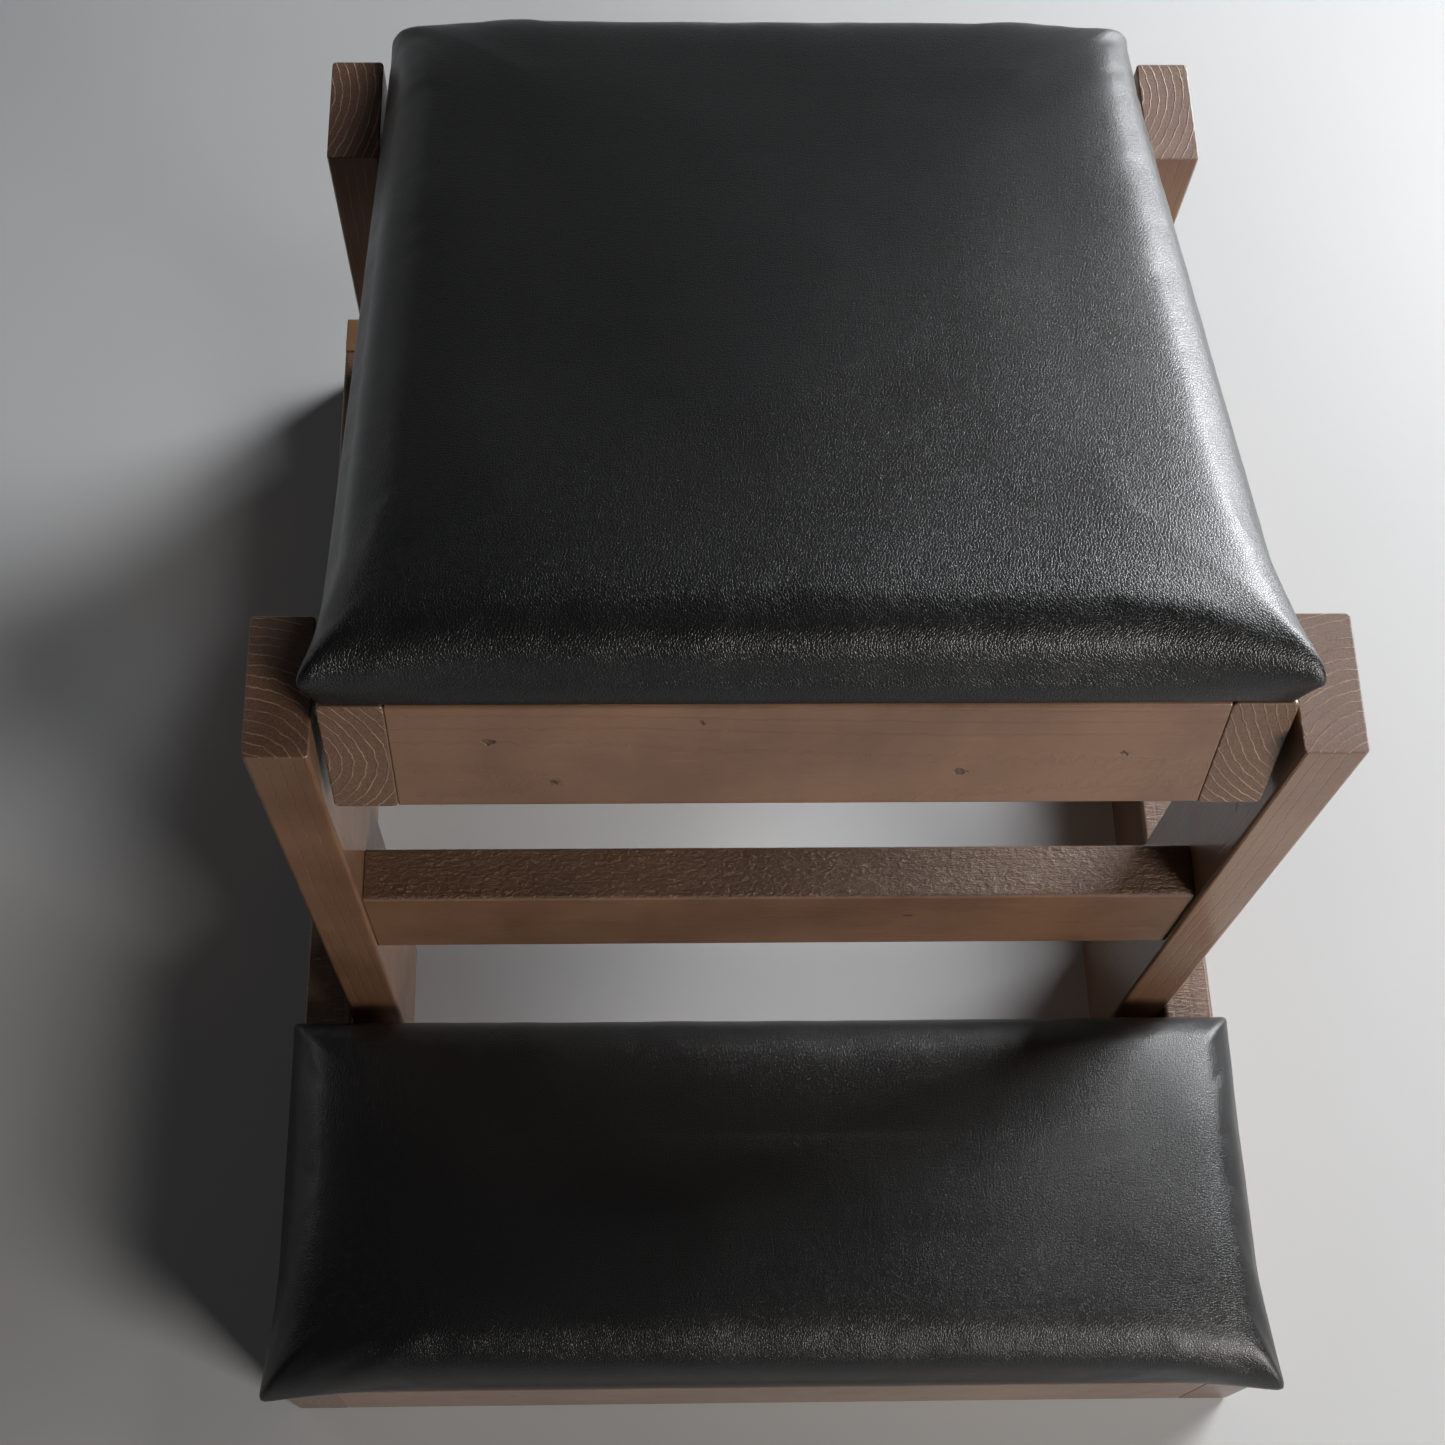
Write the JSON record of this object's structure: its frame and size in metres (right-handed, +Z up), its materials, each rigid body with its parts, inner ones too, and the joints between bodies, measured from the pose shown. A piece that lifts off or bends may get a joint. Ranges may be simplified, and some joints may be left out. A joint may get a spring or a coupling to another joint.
{
  "type": "kneeling massage chair",
  "caption": "Home-built kneeling chair in painted timber with a seat sloping down to the rear and a long padded kneeler at floor level in front.",
  "frame": {"origin": "middle of the footprint, on the floor", "axes": "+Z up, +X across the chair, +Y from the kneeler to the rear of the seat"},
  "size_m": [0.724, 0.96, 0.6164],
  "materials": {
    "painted_timber": "semi-gloss brown paint over softwood, grain and end-grain rings showing through",
    "black_vinyl": "black grained vinyl upholstery, soft satin sheen",
    "plywood": "bare plywood",
    "foam": "open-cell upholstery foam",
    "zinc_steel": "bright zinc plating",
    "staple_steel": "galvanised wire"
  },
  "bodies": {
    "root": {"front_left_post": "painted_timber", "front_right_post": "painted_timber", "rear_left_post": "painted_timber", "rear_right_post": "painted_timber", "left_floor_rail": "painted_timber", "right_floor_rail": "painted_timber", "rear_floor_rail": "painted_timber", "kneeler_front_rail": "painted_timber", "kneeler_rear_rail": "painted_timber", "front_stretcher": "painted_timber", "left_seat_rail": "painted_timber", "right_seat_rail": "painted_timber", "front_seat_rail": "painted_timber", "rear_seat_rail": "painted_timber", "seat_cover": "black_vinyl", "kneeler_cover": "black_vinyl", "seat_board": "plywood", "kneeler_board": "plywood", "seat_foam": "foam", "kneeler_foam": "foam", "floor_rail_screws": "zinc_steel", "rear_floor_rail_screws": "zinc_steel", "kneeler_rail_screws": "zinc_steel", "stretcher_screws": "zinc_steel", "seat_frame_screws": "zinc_steel", "seat_bolts": "zinc_steel", "seat_spacers": "zinc_steel", "seat_washers": "zinc_steel", "seat_nuts": "zinc_steel", "seat_brackets": "zinc_steel", "kneeler_brackets": "zinc_steel", "seat_bracket_screws": "zinc_steel", "kneeler_bracket_screws": "zinc_steel", "seat_cover_staples": "staple_steel", "kneeler_cover_staples": "staple_steel"}
  },
  "joints": []
}
